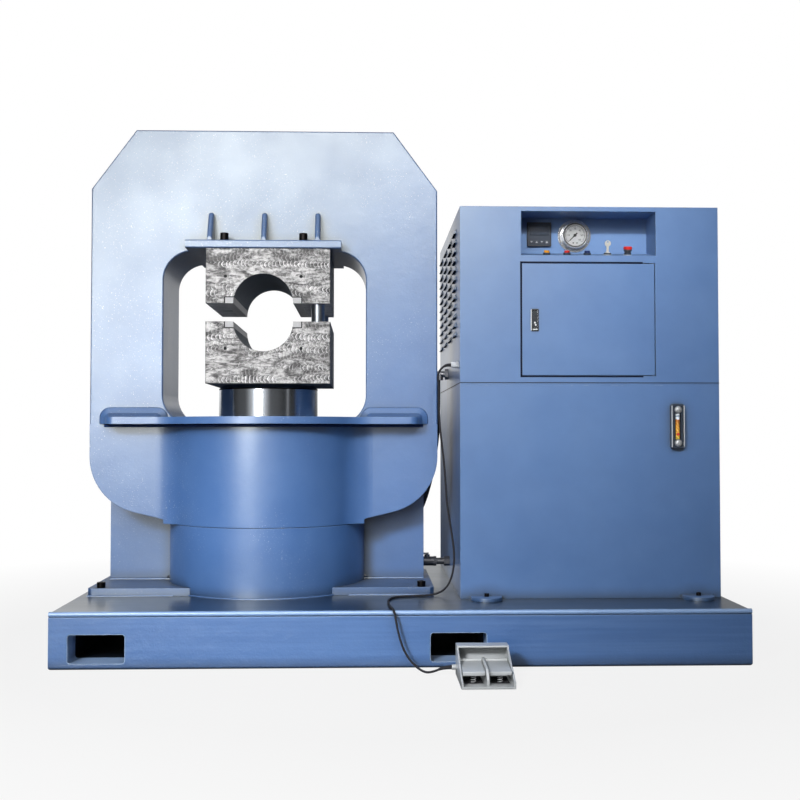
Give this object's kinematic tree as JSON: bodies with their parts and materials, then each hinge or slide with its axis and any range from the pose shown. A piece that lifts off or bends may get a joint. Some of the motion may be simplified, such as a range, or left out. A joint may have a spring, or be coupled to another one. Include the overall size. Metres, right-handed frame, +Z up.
{
  "type": "wire rope crimping machine",
  "caption": "Hydraulic press that crimps ferrules on wire rope: windowed steel frame with split dies over a cylinder, oil tank with control enclosure, all on a forklift skid.",
  "frame": {"origin": "middle of the skid's footprint, on the floor", "axes": "+X right as seen from the front, +Y to the back, +Z up"},
  "size_m": [2.5, 1.752, 2.052],
  "materials": {
    "blue_paint": "semi-gloss light blue enamel",
    "machined_steel": "milled faces with rows of cutter marks",
    "ground_steel": "ground, lightly oiled",
    "hard_chrome": "polished",
    "black_screws": "black oxide",
    "black_rubber": "smooth",
    "grey_iron": "machined casting",
    "cast_aluminium": "grey sprayed casting",
    "dark_plastic": "fine grain",
    "white_dial": "printed dial",
    "black_needle": "painted",
    "clear_glass": "clear",
    "sight_tube": "clear tube with oil",
    "yellow_plastic": "smooth",
    "red_plastic": "smooth",
    "blue_plastic": "smooth",
    "galvanised": "bright sheet",
    "grey_plastic": "fine grain",
    "motor_paint": "semi-gloss grey"
  },
  "bodies": {
    "machine": {"base_frame": "blue_paint", "base_deck": "blue_paint", "base_beams": "blue_paint", "fork_tunnels": "blue_paint", "floor_bolts": "black_screws", "press_frame": "blue_paint", "cylinder_bottom": "blue_paint", "cylinder_gland": "grey_iron", "gland_wiper": "black_rubber", "shelf_plates": "blue_paint", "stand_plates": "blue_paint", "foot_plates": "blue_paint", "die_holders": "blue_paint", "die_bolts": "black_screws", "upper_die": "machined_steel", "upper_inserts": "ground_steel", "guide_pins": "ground_steel", "tank_body": "blue_paint", "tank_lid": "blue_paint", "tank_tabs": "blue_paint", "level_gauge": "dark_plastic", "level_glass": "sight_tube", "enclosure_shell": "blue_paint", "rear_panel": "blue_paint", "control_recess": "blue_paint", "button_bezels": "dark_plastic", "panel_meter": "dark_plastic", "gauge_case": "hard_chrome", "gauge_dial": "white_dial", "gauge_lens": "clear_glass", "door_pivots": "ground_steel", "mounting_plate": "galvanised", "switchgear": "grey_plastic", "motor": "motor_paint", "pump": "grey_iron", "manifold": "blue_paint", "feed_hose": "black_rubber", "feed_fittings": "grey_iron", "return_pipe": "grey_iron", "cable_gland": "grey_plastic", "foot_cable": "black_rubber", "pedal_base": "cast_aluminium"},
    "ram": {"ram": "hard_chrome", "piston": "grey_iron", "piston_seals": "black_rubber", "lower_die": "machined_steel", "lower_inserts": "ground_steel"},
    "yellow_button": {"yellow_button": "yellow_plastic"},
    "red_button": {"red_button": "red_plastic"},
    "blue_button": {"blue_button": "blue_plastic"},
    "key_switch": {"key_switch": "ground_steel"},
    "estop_button": {"estop_button": "red_plastic"},
    "needle": {"gauge_needle": "black_needle"},
    "door": {"door": "blue_paint", "latch_plate": "hard_chrome"},
    "latch": {"latch_handle": "hard_chrome"},
    "rotor": {"motor_rotor": "ground_steel"},
    "valve_lever": {"valve_lever": "ground_steel"},
    "left_tread": {"left_tread": "cast_aluminium"},
    "right_tread": {"right_tread": "cast_aluminium"}
  },
  "joints": [
    {"name": "ram_stroke", "type": "slide", "parent": "machine", "child": "ram", "axis": [0, 0, 1], "range_m": [-0.1, 0.0715]},
    {"name": "yellow_press", "type": "slide", "parent": "machine", "child": "yellow_button", "axis": [0, 0.2095, -0.9778], "range_m": [0, 0.003], "stiffness_N_per_m": 800},
    {"name": "red_press", "type": "slide", "parent": "machine", "child": "red_button", "axis": [0, 0.2095, -0.9778], "range_m": [0, 0.003], "stiffness_N_per_m": 800},
    {"name": "blue_press", "type": "slide", "parent": "machine", "child": "blue_button", "axis": [0, 0.2095, -0.9778], "range_m": [0, 0.003], "stiffness_N_per_m": 800},
    {"name": "key_turn", "type": "hinge", "parent": "machine", "child": "key_switch", "pos_m": [0.8077, -0.381, 1.528], "axis": [0, -0.2095, 0.9778], "range_deg": [-90, 0]},
    {"name": "estop_press", "type": "slide", "parent": "machine", "child": "estop_button", "axis": [0, 0.2095, -0.9778], "range_m": [0, 0.005], "stiffness_N_per_m": 1500},
    {"name": "needle_turn", "type": "hinge", "parent": "machine", "child": "needle", "pos_m": [0.6965, -0.297, 1.62], "axis": [0, 1, 0], "range_deg": [0, 270], "stiffness_Nm_per_rad": 0.0005},
    {"name": "door_hinge", "type": "hinge", "parent": "machine", "child": "door", "pos_m": [0.9745, -0.42, 1.052], "axis": [0, 0, 1], "range_deg": [0, 110]},
    {"name": "latch_swing", "type": "hinge", "parent": "door", "child": "latch", "pos_m": [0.5155, -0.425, 1.2995], "axis": [-1, 0, 0], "range_deg": [0, 50]},
    {"name": "rotor_spin", "type": "hinge", "parent": "machine", "child": "rotor", "pos_m": [1.0395, 0.314, 1.216], "axis": [1, 0, 0], "continuous": true},
    {"name": "valve_turn", "type": "hinge", "parent": "machine", "child": "valve_lever", "pos_m": [0.1295, 0.125, 0.281], "axis": [0, 0, 1], "range_deg": [0, 90]},
    {"name": "left_tread_press", "type": "hinge", "parent": "machine", "child": "left_tread", "pos_m": [0.2205, -0.87, 0.058], "axis": [1, 0, 0], "range_deg": [0, 8], "stiffness_Nm_per_rad": 12, "springref_deg": -14.32},
    {"name": "right_tread_press", "type": "hinge", "parent": "machine", "child": "right_tread", "pos_m": [0.3095, -0.87, 0.058], "axis": [1, 0, 0], "range_deg": [0, 8], "stiffness_Nm_per_rad": 12, "springref_deg": -14.32}
  ]
}
